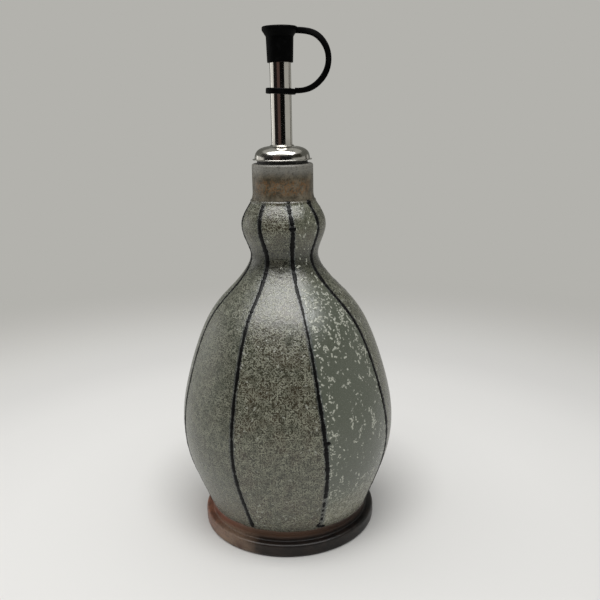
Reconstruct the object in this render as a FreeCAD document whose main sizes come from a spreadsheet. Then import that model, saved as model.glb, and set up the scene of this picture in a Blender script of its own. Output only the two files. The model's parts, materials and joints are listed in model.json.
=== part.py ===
import FreeCAD, Part
import math
import os
import Sketcher

# A thrown stoneware oil bottle with a steel pourer in its neck. All lengths are in
# millimetres. The origin is at the centre of the foot, on the surface the bottle stands
# on, and +Z is up. The cap's tether lies on the +X side.

DOCUMENT = FreeCAD.newDocument("oil_bottle")
SHEET = DOCUMENT.addObject("Spreadsheet::Sheet", "Dimensions")
TURN = 360.0

# Each driving dimension: its name in the sheet, its value and what it measures.
DIMENSIONS = [
    ("bottle_height", 168.2, "foot to lip"),
    ("belly_radius", 48.95, "widest part of the body"),
    ("belly_height", 51.25, "height of the widest part"),
    ("belly_swell", 0.68, "how far the belly's middle pole stands out of the belly"),
    ("belly_reach", 17.0, "pole spacing above and below the widest part"),
    ("hip_radius", 38.8, "pole above the foot's waist"),
    ("hip_height", 15.15, "height of that pole"),
    ("shoulder_radius", 36.4, "pole of the upper body"),
    ("shoulder_drop", 25.2, "that pole, below the throat"),
    ("slope_radius", 22.8, "pole where the shoulder turns up"),
    ("slope_drop", 14.0, "that pole, below the throat"),
    ("throat_radius", 15.2, "narrowest part between body and bulb"),
    ("throat_drop", 39.9, "throat, below the lip"),
    ("throat_reach", 3.8, "pole spacing under the throat"),
    ("bulb_radius", 19.2, "widest part of the bulb on the neck"),
    ("bulb_swell", 2.2, "how far the bulb's middle pole stands out of the bulb"),
    ("bulb_drop", 26.95, "widest part of the bulb, below the lip"),
    ("bulb_reach", 9.8, "pole spacing above and below it"),
    ("neck_wall", 3.75, "wall of the straight neck"),
    ("neck_length", 12.2, "straight neck, from the lip down"),
    ("neck_reach", 2.4, "pole spacing under the straight neck"),
    ("lip_round", 0.8, "rounding of the lip's two edges"),
    ("neck_bore", 9.6, "radius of the hole in the neck"),
    ("neck_bore_length", 15.0, "straight part of that hole"),
    ("wall", 4.5, "thickness of the thrown wall"),
    ("floor_height", 9.0, "inside of the bottle's floor"),
    ("waist_radius", 37.2, "groove between the foot and the body"),
    ("waist_height", 8.5, "where the body starts"),
    ("foot_projection", 3.3, "foot flange, proud of the groove"),
    ("foot_height", 6.1, "thickness of the foot flange"),
    ("foot_round", 1.2, "rounding of the flange's edges"),
    ("recess_radius", 32.5, "hollow turned under the foot"),
    ("recess_depth", 2.6, "depth of that hollow"),
    ("head_seat", 1.4, "how far the stopper's head lies on the lip"),
    ("head_height", 5.7, "height of the head"),
    ("head_chamfer", 1.6, "chamfer round the top of the head"),
    ("plug_length", 23.5, "stopper below the lip"),
    ("rib_depth", 1.1, "neck's hole to the stopper's core, under the head"),
    ("plug_taper", 0.7, "how much narrower the core is at its end"),
    ("rib_count", 5, "sealing ribs"),
    ("rib_pitch", 4.2, "spacing of the ribs"),
    ("rib_drop", 2.8, "middle of the first rib, below the lip"),
    ("rib_thickness", 1.7, "rib at its root"),
    ("rib_edge", 0.5, "rib at its edge"),
    ("rib_clearance", 0.08, "rib to the neck's hole"),
    ("turn_clearance", 0.05, "steel spout in the stopper"),
    ("steel_gap", 0.02, "brazed steel pieces"),
    ("collar_skirt", 1.5, "rim of the collar, above the lip"),
    ("collar_wall", 0.9, "wall of the collar's side"),
    ("collar_flare", 0.85, "rim of the collar, proud of its side"),
    ("collar_rim_edge", 0.35, "thickness of the rim's edge"),
    ("collar_side_top", 4.9, "pole at the top of the collar's side, above the lip"),
    ("collar_shoulder_inset", 1.4, "pole of the collar's rounded shoulder, in from its side"),
    ("collar_shoulder", 6.75, "height of that pole, above the lip"),
    ("collar_top", 7.3, "top of the collar beside the tube, above the lip"),
    ("collar_lift", 0.5, "upturned edge round the tube"),
    ("collar_lift_width", 0.35, "thickness of that edge"),
    ("tube_radius", 4.5, "outside of the spout tube"),
    ("tube_wall", 0.5, "wall of the spout tube"),
    ("tube_reach", 53.85, "tip of the spout tube, above the lip"),
    ("mouth_drop", 8.4, "height of the slanted cut at the tip"),
    ("mouth_flat", 1.4, "part of the tip that is left square"),
    ("vent_radius", 1.5, "outside of the vent tube"),
    ("vent_wall", 0.3, "wall of the vent tube"),
    ("vent_reach", 43.5, "top of the vent tube, above the lip"),
    ("vent_drop", 17.5, "vent tube, below the stopper"),
    ("cap_clearance", 0.1, "dust cap round the tube"),
    ("cap_seat", 0.05, "roof of the cap to the tube's tip"),
    ("cap_bore_depth", 12.5, "depth of the cap's hole"),
    ("cap_roof", 1.7, "thickness of the cap's roof"),
    ("cap_mouth_wall", 0.86, "cap's wall at its mouth"),
    ("cap_neck_wall", 1.17, "cap's wall under the flange"),
    ("cap_flange_projection", 2.8, "cap's flange, outside its hole"),
    ("cap_flange_thickness", 1.5, "thickness of the flange"),
    ("cap_cone_height", 2.5, "cone under the flange"),
    ("cap_round", 0.5, "rounding of the flange's edges"),
    ("ring_rise", 29.9, "middle of the tether's ring, above the lip"),
    ("ring_clearance", 0.2, "ring round the tube"),
    ("ring_wall", 1.7, "wall of the ring"),
    ("ring_thickness", 2.4, "height of the ring"),
    ("ring_tilt", 3.0, "how far the strap tips the ring, in degrees"),
    ("ring_round", 0.5, "rounding of the ring's edges"),
    ("strap_width", 2.8, "strap, across"),
    ("strap_thickness", 1.25, "strap, through"),
    ("strap_root", 1.0, "straight part of the strap beside the cap"),
    ("strap_gap", 0.05, "strap's ends to the cap and the ring"),
]

OVERSHOOT = 1.0
QUARTER_TURN = math.pi / 2


class Size:
    """A length that knows its value now and the sheet expression that it follows."""

    def __init__(self, value, text):
        self.value = value
        self.text = text

    def __add__(self, other):
        other = as_size(other)
        return Size(self.value + other.value, f"({self.text} + {other.text})")

    def __sub__(self, other):
        other = as_size(other)
        return Size(self.value - other.value, f"({self.text} - {other.text})")

    def __mul__(self, other):
        other = as_size(other)
        return Size(self.value * other.value, f"({self.text} * {other.text})")

    def __neg__(self):
        return Size(-self.value, f"(0 - {self.text})")


def as_size(number):
    """Turn a plain number into a Size, and leave a Size as it is."""
    if isinstance(number, Size):
        return number
    return Size(float(number), str(number))


def fill_sheet():
    """Write the driving dimensions to the sheet, one row each."""
    for row, (name, value, meaning) in enumerate(DIMENSIONS, start=1):
        SHEET.set(f"A{row}", meaning)
        SHEET.set(f"B{row}", str(value))
        SHEET.setAlias(f"B{row}", name)
    DOCUMENT.recompute()


def dim(name):
    """One driving dimension, as a Size that follows its cell."""
    return Size(float(SHEET.get(name)), f"Dimensions.{name}")


def new_body(name):
    """An empty body for one piece. Its label names its file."""
    body = DOCUMENT.addObject("PartDesign::Body", name)
    body.Label = name
    return body


def lift(body, height):
    """Stand a body's own origin at a height over the foot."""
    body.setExpression(".Placement.Base.z", height.text)


def new_sketch(body, name, role="XZ_Plane"):
    """A sketch on one of the body's own origin planes."""
    sketch = body.newObject("Sketcher::SketchObject", f"{body.Name}_{name}")
    plane = [part for part in body.Origin.OriginFeatures if part.Role == role][0]
    sketch.AttachmentSupport = [(plane, "")]
    sketch.MapMode = "FlatFace"
    return sketch


def bind(sketch, kind, where, size):
    """Add a dimension to a sketch and tie it to the sheet."""
    index = sketch.addConstraint(Sketcher.Constraint(kind, *where, size.value))
    sketch.setExpression(f"Constraints[{index}]", size.text)


def pin_point(sketch, geometry, end, radius, height):
    """Fix one point of a sketch at a radius and a height."""
    for kind, size, axis in (("DistanceX", radius, -2), ("DistanceY", height, -1)):
        if size.text == "0":
            sketch.addConstraint(Sketcher.Constraint("PointOnObject", geometry, end, axis))
        else:
            bind(sketch, kind, (-1, 1, geometry, end), size)


def vector(point):
    """A sketch vector from a radius and a height."""
    return FreeCAD.Vector(point[0].value, point[1].value, 0)


def draw_outline(sketch, runs):
    """Draw a closed outline. A run of two points is a line; a longer one is a curve's poles.

    Each run starts where the run before it ends, and the last one closes the outline.
    """
    runs = [[(as_size(r), as_size(z)) for r, z in run] for run in runs]
    drawn = []
    for run in runs:
        if len(run) == 2:
            drawn.append(sketch.addGeometry(Part.LineSegment(vector(run[0]), vector(run[1])), False))
            continue
        curve = Part.BSplineCurve()
        curve.buildFromPoles([vector(point) for point in run], False, 3)
        drawn.append(sketch.addGeometry(curve, False))
    for here, following in zip(drawn, drawn[1:] + drawn[:1]):
        sketch.addConstraint(Sketcher.Constraint("Coincident", here, 2, following, 1))
    for here, run in zip(drawn, runs):
        pin_point(sketch, here, 1, *run[0])
        if len(run) > 2:
            first_pole = sketch.GeometryCount
            sketch.exposeInternalGeometry(here)
            for step, point in enumerate(run[1:-1], start=1):
                pin_point(sketch, first_pole + step, 3, *point)


def draw_open(sketch, corners):
    """Draw straight lines through corners that stay where they are put."""
    lines = []
    for here, following in zip(corners, corners[1:]):
        line = sketch.addGeometry(Part.LineSegment(vector(here), vector(following)), False)
        if lines:
            sketch.addConstraint(Sketcher.Constraint("Coincident", lines[-1], 2, line, 1))
        pin_point(sketch, line, 1, *here)
        lines.append(line)
    pin_point(sketch, lines[-1], 2, *corners[-1])
    return lines


def polygon(points):
    """The straight runs round a closed list of corners."""
    return [[here, following] for here, following in zip(points, points[1:] + points[:1])]


def turn_round(body, name, kind, runs):
    """Turn an outline round the body's axis: kind is Revolution or Groove."""
    sketch = new_sketch(body, f"{name}_outline")
    draw_outline(sketch, runs)
    before = body.Shape.Volume if body.Tip else 0.0
    feature = body.newObject(f"PartDesign::{kind}", f"{body.Name}_{name}")
    feature.Profile = sketch
    feature.ReferenceAxis = (sketch, ["V_Axis"])
    feature.Angle = TURN
    DOCUMENT.recompute()
    if (kind == "Groove") != (body.Shape.Volume < before):
        raise ValueError(f"{feature.Name} did not change the solid as it should")
    return feature


def circle_edges(feature, places):
    """Names of a feature's round edges at the given radii and heights."""
    names = []
    for number, edge in enumerate(feature.Shape.Edges, start=1):
        if edge.Curve.TypeId != "Part::GeomCircle":
            continue
        for radius, height in places:
            near_radius = abs(edge.Curve.Radius - as_size(radius).value) < 1e-4
            if near_radius and abs(edge.Curve.Center.z - as_size(height).value) < 1e-4:
                names.append(f"Edge{number}")
    return names


def round_edges(body, name, places, radius):
    """Fillet the round edges at the given radii and heights."""
    base = body.Tip
    edges = circle_edges(base, places)
    if len(edges) != len(places):
        raise ValueError(f"{name}: {len(edges)} edges found, {len(places)} wanted")
    fillet = body.newObject("PartDesign::Fillet", f"{body.Name}_{name}")
    fillet.Base = (base, edges)
    fillet.setExpression("Radius", radius.text)
    DOCUMENT.recompute()


def neck_radius():
    """Outside of the straight neck."""
    return dim("neck_bore") + dim("neck_wall")


def head_radius():
    """The stopper's head, which rests on the lip."""
    return dim("neck_bore") + dim("head_seat")


def make_bottle():
    """The thrown stoneware bottle: foot, body, throat, bulb and neck in one wall."""
    body = new_body("bottle")
    top = dim("bottle_height")
    throat = top - dim("throat_drop")
    bulb = top - dim("bulb_drop")
    neck_base = top - dim("neck_length")
    foot_radius = dim("waist_radius") + dim("foot_projection")
    belly = [
        (dim("hip_radius"), dim("hip_height")),
        (dim("belly_radius") - dim("belly_swell") * 2, dim("belly_height") - dim("belly_reach")),
        (dim("belly_radius") + dim("belly_swell"), dim("belly_height")),
        (dim("belly_radius") - dim("belly_swell") * 2, dim("belly_height") + dim("belly_reach")),
    ]
    shoulder = [
        (dim("shoulder_radius"), throat - dim("shoulder_drop")),
        (dim("slope_radius"), throat - dim("slope_drop")),
    ]
    neck_bulb = [
        (dim("bulb_radius") - dim("bulb_swell") * 2, bulb - dim("bulb_reach")),
        (dim("bulb_radius") + dim("bulb_swell"), bulb),
        (dim("bulb_radius") - dim("bulb_swell") * 2, bulb + dim("bulb_reach")),
    ]
    throat_point = (dim("throat_radius"), throat)
    neck_point = (neck_radius(), neck_base)
    waist_point = (dim("waist_radius"), dim("waist_height"))
    recess_edge = (dim("recess_radius"), 0)
    recess_corner = (dim("recess_radius") - dim("recess_depth"), dim("recess_depth"))
    corners = [(0, dim("recess_depth")), recess_corner, recess_edge, (foot_radius, 0),
               (foot_radius, dim("foot_height")), (dim("waist_radius"), dim("foot_height")), waist_point]
    runs = [[here, following] for here, following in zip(corners, corners[1:])]
    under_throat = (dim("throat_radius"), throat - dim("throat_reach"))
    under_neck = (neck_radius(), neck_base - dim("neck_reach"))
    runs.append([waist_point] + belly + shoulder + [under_throat, throat_point])
    runs.append([throat_point] + neck_bulb + [under_neck, neck_point])
    runs += [[neck_point, (neck_radius(), top)], [(neck_radius(), top), (0, top)],
             [(0, top), (0, dim("recess_depth"))]]
    turn_round(body, "outside", "Revolution", runs)

    # The hollow follows the outside one wall in. On the shoulder, which slants by about 45
    # degrees, a pole goes in and down by 0.7 of the wall.
    wall = dim("wall")
    slant = wall * 0.7
    floor = dim("floor_height")
    bore = dim("neck_bore")
    bore_base = top - dim("neck_bore_length")
    floor_edge = (dim("waist_radius") - wall * 3, floor)
    throat_hollow = (dim("throat_radius") - wall, throat)
    hollow = [floor_edge, (dim("waist_radius") - wall, floor)]
    hollow += [(radius - wall, height) for radius, height in belly]
    hollow += [(radius - slant, height - slant) for radius, height in shoulder]
    hollow += [(dim("throat_radius") - wall, throat - dim("throat_reach")), throat_hollow]
    bulb_hollow = [throat_hollow] + [(radius - wall, height) for radius, height in neck_bulb]
    bulb_hollow += [(bore, bore_base - dim("neck_reach")), (bore, bore_base)]
    above = top + OVERSHOOT
    runs = [[(0, floor), floor_edge], hollow, bulb_hollow, [(bore, bore_base), (bore, above)],
            [(bore, above), (0, above)], [(0, above), (0, floor)]]
    turn_round(body, "hollow", "Groove", runs)
    round_edges(body, "lip", [(neck_radius(), top), (bore, top)], dim("lip_round"))
    round_edges(body, "foot", [(foot_radius, 0), (foot_radius, dim("foot_height"))], dim("foot_round"))
    return body


def make_stopper():
    """The ribbed rubber stopper. Its own origin is on the lip."""
    body = new_body("stopper")
    lift(body, dim("bottle_height"))
    bore = dim("tube_radius") + dim("turn_clearance")
    plug_radius = dim("neck_bore") - dim("rib_depth")
    end_radius = plug_radius - dim("plug_taper")
    shoulder = head_radius() - dim("head_chamfer")
    turn_round(body, "core", "Revolution", polygon([
        (bore, -dim("plug_length")),
        (end_radius, -dim("plug_length")),
        (plug_radius, 0),
        (head_radius(), 0),
        (head_radius(), dim("head_height") - dim("head_chamfer")),
        (shoulder, dim("head_height")),
        (bore, dim("head_height")),
    ]))
    middle = -dim("rib_drop") - dim("rib_pitch") * (dim("rib_count") - 1)
    root = (bore + end_radius) * 0.5
    edge = dim("neck_bore") - dim("rib_clearance")
    half_root = dim("rib_thickness") * 0.5
    half_edge = dim("rib_edge") * 0.5
    rib = turn_round(body, "rib", "Revolution", polygon([
        (root, middle - half_root),
        (edge, middle - half_edge),
        (edge, middle + half_edge),
        (root, middle + half_root),
    ]))
    ribs = body.newObject("PartDesign::LinearPattern", "stopper_ribs")
    ribs.Originals = [rib]
    ribs.Direction = (rib.Profile[0], ["V_Axis"])
    ribs.Mode = "Spacing"
    ribs.setExpression("Offset", dim("rib_pitch").text)
    ribs.setExpression("Occurrences", dim("rib_count").text)
    body.Tip = ribs
    return body


def make_collar():
    """The pressed steel collar that covers the stopper's head. Its own origin is on the lip."""
    body = new_body("collar")
    lift(body, dim("bottle_height"))
    hole = dim("tube_radius") + dim("steel_gap")
    inside = head_radius() + dim("turn_clearance") * 2
    outside = inside + dim("collar_wall")
    edge = outside + dim("collar_flare")
    rim = (inside, dim("collar_skirt"))
    flare = (edge, dim("collar_skirt"))
    flare_top = (edge, dim("collar_skirt") + dim("collar_rim_edge"))
    side = (outside, dim("collar_skirt") + dim("collar_rim_edge"))
    crown = (hole + dim("collar_lift_width") + dim("collar_lift"), dim("collar_top"))
    edge_top = dim("collar_top") + dim("collar_lift")
    dome = [
        side,
        (outside, dim("collar_side_top")),
        (outside - dim("collar_shoulder_inset"), dim("collar_shoulder")),
        crown,
    ]
    turn_round(body, "shell", "Revolution", [
        [rim, flare],
        [flare, flare_top],
        [flare_top, side],
        dome,
        [crown, (hole + dim("collar_lift_width"), edge_top)],
        [(hole + dim("collar_lift_width"), edge_top), (hole, edge_top)],
        [(hole, edge_top), (hole, dim("head_height"))],
        [(hole, dim("head_height")), (inside - dim("head_chamfer"), dim("head_height"))],
        [(inside - dim("head_chamfer"), dim("head_height")),
         (inside, dim("head_height") - dim("head_chamfer"))],
        [(inside, dim("head_height") - dim("head_chamfer")), rim],
    ])
    return body


def make_spout_tube():
    """The steel pouring tube, cut on a slant at its tip. Its own origin is on the lip."""
    body = new_body("spout_tube")
    lift(body, dim("bottle_height"))
    inner = dim("tube_radius") - dim("tube_wall")
    turn_round(body, "wall", "Revolution", polygon([
        (inner, -dim("plug_length")),
        (dim("tube_radius"), -dim("plug_length")),
        (dim("tube_radius"), dim("tube_reach")),
        (inner, dim("tube_reach")),
    ]))
    sketch = new_sketch(body, "slant_outline")
    high = dim("tube_reach")
    low = high - dim("mouth_drop")
    far = dim("tube_radius") * 2
    draw_outline(sketch, polygon([
        (dim("mouth_flat") - dim("tube_radius"), high),
        (dim("tube_radius"), low),
        (far, low),
        (far, high + OVERSHOOT),
        (dim("mouth_flat") - dim("tube_radius"), high + OVERSHOOT),
    ]))
    before = body.Shape.Volume
    cut = body.newObject("PartDesign::Pocket", "spout_tube_slant")
    cut.Profile = sketch
    cut.SideType = "Symmetric"
    cut.setExpression("Length", (dim("tube_radius") * 4).text)
    DOCUMENT.recompute()
    if body.Shape.Volume >= before:
        raise ValueError("the slanted cut missed the tube")
    return body


def make_vent_tube():
    """The thin tube that lets air in, brazed to the spout's wall under the mouth's low side."""
    body = new_body("vent_tube")
    lift(body, dim("bottle_height"))
    offset = dim("tube_radius") - dim("tube_wall") - dim("vent_radius") - dim("steel_gap")
    body.setExpression(".Placement.Base.x", offset.text)
    inner = dim("vent_radius") - dim("vent_wall")
    bottom = -dim("plug_length") - dim("vent_drop")
    turn_round(body, "wall", "Revolution", polygon([
        (inner, bottom),
        (dim("vent_radius"), bottom),
        (dim("vent_radius"), dim("vent_reach")),
        (inner, dim("vent_reach")),
    ]))
    return body


def cap_height():
    """Height of the dust cap's mouth: its roof rests over the tube's tip."""
    return dim("bottle_height") + dim("tube_reach") + dim("cap_seat") - dim("cap_bore_depth")


def make_dust_cap():
    """The rubber cap on the spout's tip. Its own origin is in the middle of its mouth."""
    body = new_body("dust_cap")
    lift(body, cap_height())
    bore = dim("tube_radius") + dim("cap_clearance")
    top = dim("cap_bore_depth") + dim("cap_roof")
    flange = bore + dim("cap_flange_projection")
    flange_base = top - dim("cap_flange_thickness")
    turn_round(body, "shell", "Revolution", polygon([
        (bore, 0),
        (bore + dim("cap_mouth_wall"), 0),
        (bore + dim("cap_neck_wall"), flange_base - dim("cap_cone_height")),
        (flange, flange_base),
        (flange, top),
        (0, top),
        (0, dim("cap_bore_depth")),
        (bore, dim("cap_bore_depth")),
    ]))
    round_edges(body, "flange", [(flange, top), (flange, flange_base)], dim("cap_round"))
    return body


def make_tether_ring():
    """The ring of the cap's tether, loose on the tube and tipped by the strap."""
    body = new_body("tether_ring")
    lift(body, dim("bottle_height") + dim("ring_rise"))
    body.Placement.Rotation = FreeCAD.Rotation(FreeCAD.Vector(0, 1, 0), 1)
    body.setExpression(".Placement.Rotation.Angle", dim("ring_tilt").text)
    hole = dim("tube_radius") + dim("ring_clearance")
    rim = hole + dim("ring_wall")
    half = dim("ring_thickness") * 0.5
    turn_round(body, "band", "Revolution", polygon([
        (hole, -half),
        (rim, -half),
        (rim, half),
        (hole, half),
    ]))
    round_edges(body, "edges", [(rim, half), (rim, -half)], dim("ring_round"))
    return body


def make_cap_tether():
    """The strap from the ring to the cap's flange: half a circle with two straight roots."""
    body = new_body("cap_tether")
    bore = dim("tube_radius") + dim("cap_clearance")
    cap_end = bore + dim("cap_flange_projection") + dim("strap_gap")
    ring_end = dim("tube_radius") + dim("ring_clearance") + dim("ring_wall") + dim("strap_gap")
    cap_top = cap_height() + dim("cap_bore_depth") + dim("cap_roof")
    high = cap_top - dim("cap_flange_thickness") * 0.5
    low = dim("bottle_height") + dim("ring_rise")
    centre = (cap_end + dim("strap_root"), (high + low) * 0.5)
    middle = (high - low) * 0.5
    outer = middle + dim("strap_thickness") * 0.5
    inner = middle - dim("strap_thickness") * 0.5
    sketch = new_sketch(body, "band_outline")
    ring_lines = draw_open(sketch, [(centre[0], centre[1] - outer), (ring_end, centre[1] - outer),
                                    (ring_end, centre[1] - inner), (centre[0], centre[1] - inner)])
    cap_lines = draw_open(sketch, [(centre[0], centre[1] + outer), (cap_end, centre[1] + outer),
                                   (cap_end, centre[1] + inner), (centre[0], centre[1] + inner)])
    for radius, line, end in ((outer, 0, 1), (inner, -1, 2)):
        circle = Part.Circle(vector(centre), FreeCAD.Vector(0, 0, 1), radius.value)
        arc = sketch.addGeometry(Part.ArcOfCircle(circle, -QUARTER_TURN, QUARTER_TURN), False)
        sketch.addConstraint(Sketcher.Constraint("Coincident", arc, 1, ring_lines[line], end))
        sketch.addConstraint(Sketcher.Constraint("Coincident", arc, 2, cap_lines[line], end))
        bind(sketch, "DistanceX", (-1, 1, arc, 3), centre[0])
    strap = body.newObject("PartDesign::Pad", "cap_tether_band")
    strap.Profile = sketch
    strap.SideType = "Symmetric"
    strap.setExpression("Length", dim("strap_width").text)
    DOCUMENT.recompute()
    return body


def check_document():
    """Stop if any object failed, or a piece is not one valid solid."""
    DOCUMENT.recompute()
    failed = [item.Name for item in DOCUMENT.Objects if {"Invalid", "Error"} & set(item.State)]
    if failed:
        raise ValueError(f"failed objects: {failed}")
    for item in DOCUMENT.Objects:
        if item.TypeId == "Sketcher::SketchObject" and item.solve() != 0:
            raise ValueError(f"{item.Name} has no solution")


def export(bodies):
    """Write each piece to its own file."""
    os.makedirs("parts", exist_ok=True)
    for body in bodies:
        shape = body.Shape
        if shape.isNull() or not shape.isValid() or len(shape.Solids) != 1:
            raise ValueError(f"{body.Label} is not one valid solid")
        shape.exportStep(os.path.join("parts", f"{body.Label}.step"))
        box = shape.BoundBox
        print(f"{body.Label}: {shape.Volume:.1f} mm3, z {box.ZMin:.2f} to {box.ZMax:.2f}, "
              f"x {box.XMin:.2f} to {box.XMax:.2f}")


fill_sheet()
PIECES = [
    make_bottle(),
    make_stopper(),
    make_collar(),
    make_spout_tube(),
    make_vent_tube(),
    make_dust_cap(),
    make_tether_ring(),
    make_cap_tether(),
]
check_document()
export(PIECES)
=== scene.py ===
# %% [markdown]
# # A stoneware oil bottle with a steel pourer
# The bottle is thrown on a potter's wheel: a round belly, a small bulb in the neck and a flanged foot.
# It is glazed in eight upright panels that are parted by black lines trailed on by hand.
# A steel pourer sits in the mouth, and a rubber cap hangs on it by a strap and a ring.
# The CAD parts give every size and place here. Blender adds the surface that a turned solid lacks.

# %% Load the CAD frame
import json
import math

import bmesh
import bpy
import numpy as np
from mathutils import Matrix, Vector

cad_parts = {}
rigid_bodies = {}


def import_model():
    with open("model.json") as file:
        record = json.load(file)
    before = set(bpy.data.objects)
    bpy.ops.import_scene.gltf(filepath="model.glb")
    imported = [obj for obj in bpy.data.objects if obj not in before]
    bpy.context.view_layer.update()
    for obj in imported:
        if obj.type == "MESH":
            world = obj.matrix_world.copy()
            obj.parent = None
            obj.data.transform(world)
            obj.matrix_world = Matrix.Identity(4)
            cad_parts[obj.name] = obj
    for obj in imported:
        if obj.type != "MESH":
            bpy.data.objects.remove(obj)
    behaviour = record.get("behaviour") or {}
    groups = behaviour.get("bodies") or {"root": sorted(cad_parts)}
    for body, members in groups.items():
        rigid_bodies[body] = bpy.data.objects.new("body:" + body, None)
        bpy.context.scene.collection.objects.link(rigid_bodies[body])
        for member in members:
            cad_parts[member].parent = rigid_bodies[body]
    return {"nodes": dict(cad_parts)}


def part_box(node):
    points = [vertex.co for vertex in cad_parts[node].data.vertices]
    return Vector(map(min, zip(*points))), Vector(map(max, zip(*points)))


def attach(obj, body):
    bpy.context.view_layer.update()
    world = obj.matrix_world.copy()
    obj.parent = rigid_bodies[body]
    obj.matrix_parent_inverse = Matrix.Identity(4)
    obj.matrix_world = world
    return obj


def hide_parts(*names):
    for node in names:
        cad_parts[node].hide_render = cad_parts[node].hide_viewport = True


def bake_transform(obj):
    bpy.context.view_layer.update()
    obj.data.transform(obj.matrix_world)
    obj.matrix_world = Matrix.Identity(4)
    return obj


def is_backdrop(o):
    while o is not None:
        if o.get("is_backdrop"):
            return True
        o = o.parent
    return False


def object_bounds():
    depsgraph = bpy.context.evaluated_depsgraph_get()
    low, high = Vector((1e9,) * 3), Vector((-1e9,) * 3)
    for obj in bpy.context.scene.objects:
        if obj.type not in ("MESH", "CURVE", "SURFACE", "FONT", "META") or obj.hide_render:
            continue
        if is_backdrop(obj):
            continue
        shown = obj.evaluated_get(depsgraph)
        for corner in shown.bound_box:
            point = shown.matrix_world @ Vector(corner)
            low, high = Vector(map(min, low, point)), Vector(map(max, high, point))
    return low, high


for spare in list(bpy.data.objects):
    bpy.data.objects.remove(spare)
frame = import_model()
cad_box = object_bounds()
MM = 0.001
nodes = frame["nodes"]
print("nodes:", ", ".join(sorted(nodes)))

# %% [markdown]
# ## Node trees written as sums
# Both materials and Geometry Nodes are graphs of small nodes. Wiring them by hand in a script takes many
# lines, so a thin class stands for a node's output and turns Python's + - * / into Math nodes.
# One method makes every other node from its type, its settings and its inputs.


# %% The graph helper
class Value:
    """The output of one node, with arithmetic on it."""

    def __init__(self, graph, socket):
        self.graph, self.socket = graph, socket

    def math(self, operation, *others):
        return self.graph.math(operation, self, *others)

    def __add__(self, other):
        return self.math("ADD", other)

    def __sub__(self, other):
        return self.math("SUBTRACT", other)

    def __rsub__(self, other):
        return self.graph.math("SUBTRACT", other, self)

    def __mul__(self, other):
        return self.math("MULTIPLY", other)

    def __truediv__(self, other):
        return self.math("DIVIDE", other)

    def __rtruediv__(self, other):
        return self.graph.math("DIVIDE", other, self)

    def __pow__(self, other):
        return self.math("POWER", other)

    __radd__, __rmul__ = __add__, __mul__


class Graph:
    """A node tree that is built one node at a time."""

    def __init__(self, tree):
        self.tree = tree

    def node(self, kind, settings=None, inputs=None, output=0):
        made = self.tree.nodes.new(kind)
        for name, value in (settings or {}).items():
            if name == "stops":
                self.fill_ramp(made.color_ramp, value)
            else:
                setattr(made, name, value)
        for key, value in (inputs or {}).items():
            if isinstance(value, Value):
                self.tree.links.new(value.socket, made.inputs[key])
            else:
                made.inputs[key].default_value = value
        self.last = made
        return Value(self, made.outputs[output])

    def fill_ramp(self, ramp, stops):
        while len(ramp.elements) < len(stops):
            ramp.elements.new(1.0)
        for element, (place, colour) in zip(ramp.elements, stops):
            element.position = place
            element.color = colour if len(colour) == 4 else (*colour, 1)

    def also(self, output):
        """Another output of the node that was made last."""
        return Value(self, self.last.outputs[output])

    def math(self, operation, *parts):
        return self.node("ShaderNodeMath", {"operation": operation}, dict(enumerate(parts)))

    def vector(self, operation, *parts, output="Vector"):
        return self.node("ShaderNodeVectorMath", {"operation": operation}, dict(enumerate(parts)), output)

    def scaled(self, vector, factor):
        return self.node("ShaderNodeVectorMath", {"operation": "SCALE"}, {"Vector": vector, "Scale": factor})

    def split(self, vector):
        x = self.node("ShaderNodeSeparateXYZ", inputs={"Vector": vector})
        return x, self.also("Y"), self.also("Z")

    def join(self, x, y, z):
        return self.node("ShaderNodeCombineXYZ", inputs={"X": x, "Y": y, "Z": z})

    def ease(self, value, low, high, at_low=0.0, at_high=1.0):
        """A smooth step from at_low to at_high as value goes from low to high."""
        settings = {"interpolation_type": "SMOOTHSTEP", "clamp": True}
        sizes = {"Value": value, "From Min": low, "From Max": high, "To Min": at_low, "To Max": at_high}
        return self.node("ShaderNodeMapRange", settings, sizes)

    def noise(self, place, scale, detail=2.0, rough=0.5, output=0, **settings):
        sizes = {"Vector": place, "Scale": scale, "Detail": detail, "Roughness": rough}
        return self.node("ShaderNodeTexNoise", settings, sizes, output)

    def mix(self, amount, first, second, blend_type="MIX"):
        """first where amount is 0, second where it is 1, as colours."""
        settings = {"data_type": "RGBA", "blend_type": blend_type, "clamp_factor": True}
        parts = {0: amount, 6: self.rgba(first), 7: self.rgba(second)}
        return self.node("ShaderNodeMix", settings, parts, 2)

    def rgba(self, colour):
        return colour if isinstance(colour, Value) or len(colour) == 4 else (*colour, 1)


def shade(red, green, blue):
    """A colour as it looks on a screen, 0 to 255, turned into the linear numbers that shaders use."""
    channels = [c / 255 for c in (red, green, blue)]
    return tuple(c / 12.92 if c <= 0.04045 else ((c + 0.055) / 1.055) ** 2.4 for c in channels)


# %% [markdown]
# ## Running a Geometry Nodes tree
# A tree is put on a small starting object as a modifier, its named inputs are set, and what it makes is
# baked into a plain mesh. The starting object is then thrown away, so the finished piece has no modifier.


# %% Trees with named inputs
def new_tree(name, inputs):
    """A Geometry Nodes tree: gives its Graph and its inputs as Values by name."""
    tree = bpy.data.node_groups.new(name, "GeometryNodeTree")
    tree.interface.new_socket(name="Geometry", in_out="OUTPUT", socket_type="NodeSocketGeometry")
    tree.interface.new_socket(name="Geometry", in_out="INPUT", socket_type="NodeSocketGeometry")
    for label, (kind, default) in inputs.items():
        made = tree.interface.new_socket(name=label, in_out="INPUT", socket_type="NodeSocket" + kind)
        if default is not None:
            made.default_value = default
    graph = Graph(tree)
    graph.node("NodeGroupInput")
    return graph, {label: graph.also(label) for label in ["Geometry", *inputs]}


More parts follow.
